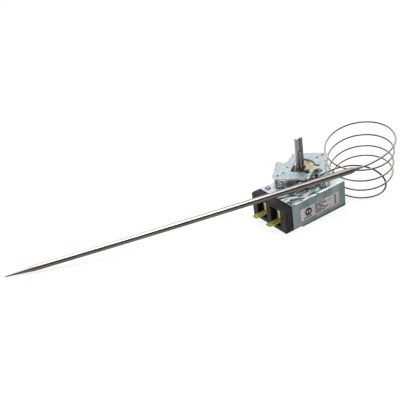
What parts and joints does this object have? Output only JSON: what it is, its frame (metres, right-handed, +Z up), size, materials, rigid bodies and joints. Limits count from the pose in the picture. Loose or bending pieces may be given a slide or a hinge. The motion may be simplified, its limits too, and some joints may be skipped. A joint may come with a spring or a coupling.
{
  "type": "capillary thermostat",
  "caption": "Control with a snap switch in a zinc case, a D shaft on a raised mounting plate, blade terminals and a coiled capillary with a long sensing bulb.",
  "frame": {"origin": "on the control shaft's axis, at the top face of the mounting plate", "axes": "+Z up the shaft towards the knob, +X along the case towards the capillary coil, +Y to the back; the blade terminals point to -X"},
  "size_m": [0.344, 0.1528, 0.0712],
  "materials": {
    "zinc": "bright zinc plate with a faint blue tint",
    "phenolic": "moulded black, semi matte",
    "brass": "plain brass, lightly dulled",
    "bronze": "dull bronze",
    "stainless": "drawn tube, satin",
    "steel": "turned, satin",
    "nickel": "nickel plated",
    "silver": "polished contact metal"
  },
  "bodies": {
    "housing": {"case_cover": "zinc", "switch_base": "phenolic", "mounting_bridge": "zinc", "case_rivets": "zinc", "window_plate": "bronze", "bearing_strip": "zinc", "hub_bushing": "brass", "stop_pin": "zinc", "cover_screws": "zinc", "terminal_common": "brass", "terminal_load": "brass", "terminal_rivets": "nickel", "load_bracket": "brass", "common_bracket": "brass", "fixed_contact": "silver", "capsule": "stainless", "capillary_tube": "stainless", "capillary_sleeve": "bronze", "sensing_bulb": "stainless", "lever_bracket": "zinc", "lever_pin": "steel"},
    "shaft": {"control_shaft": "steel", "stop_disc": "bronze", "retaining_ring": "steel"},
    "nut": {"range_nut": "brass"},
    "lever": {"lever": "zinc", "range_spring": "steel", "calibration_screw": "brass"},
    "push_pin": {"transfer_pin": "phenolic"},
    "button": {"capsule_button": "stainless"},
    "blade": {"switch_blade": "bronze", "moving_contact": "silver"}
  },
  "joints": [
    {"name": "shaft_turn", "type": "hinge", "parent": "housing", "child": "shaft", "pos_m": [0, 0, 0], "axis": [0, 0, 1], "range_deg": [-135, 165]},
    {"name": "nut_slide", "type": "slide", "parent": "housing", "child": "nut", "axis": [0, 0, 1], "range_m": [-0.00071, 0.00058], "deforming": ["range_spring"]},
    {"name": "lever_tilt", "type": "hinge", "parent": "housing", "child": "lever", "pos_m": [-0.017, 0, -0.0151], "axis": [0, -1, 0], "range_deg": [0, 1.5], "stiffness_Nm_per_rad": 0.05},
    {"name": "push_slide", "type": "slide", "parent": "housing", "child": "push_pin", "axis": [0, 0, 1], "range_m": [0, 0.0009445]},
    {"name": "button_slide", "type": "slide", "parent": "housing", "child": "button", "axis": [0, 0, 1], "range_m": [0, 0.0005518]},
    {"name": "blade_flex", "type": "hinge", "parent": "housing", "child": "blade", "pos_m": [-0.0202, 0.0022, -0.028], "axis": [0, -1, 0], "range_deg": [0, 1.39]}
  ],
  "couplings": [
    {"joint": "nut_slide", "follows": "shaft_turn", "m_per_rad": -0.00023873},
    {"joint": "push_slide", "follows": "lever_tilt", "m_per_rad": 0.036},
    {"joint": "button_slide", "follows": "lever_tilt", "m_per_rad": 0.021},
    {"joint": "blade_flex", "follows": "lever_tilt", "ratio": 0.91837}
  ]
}
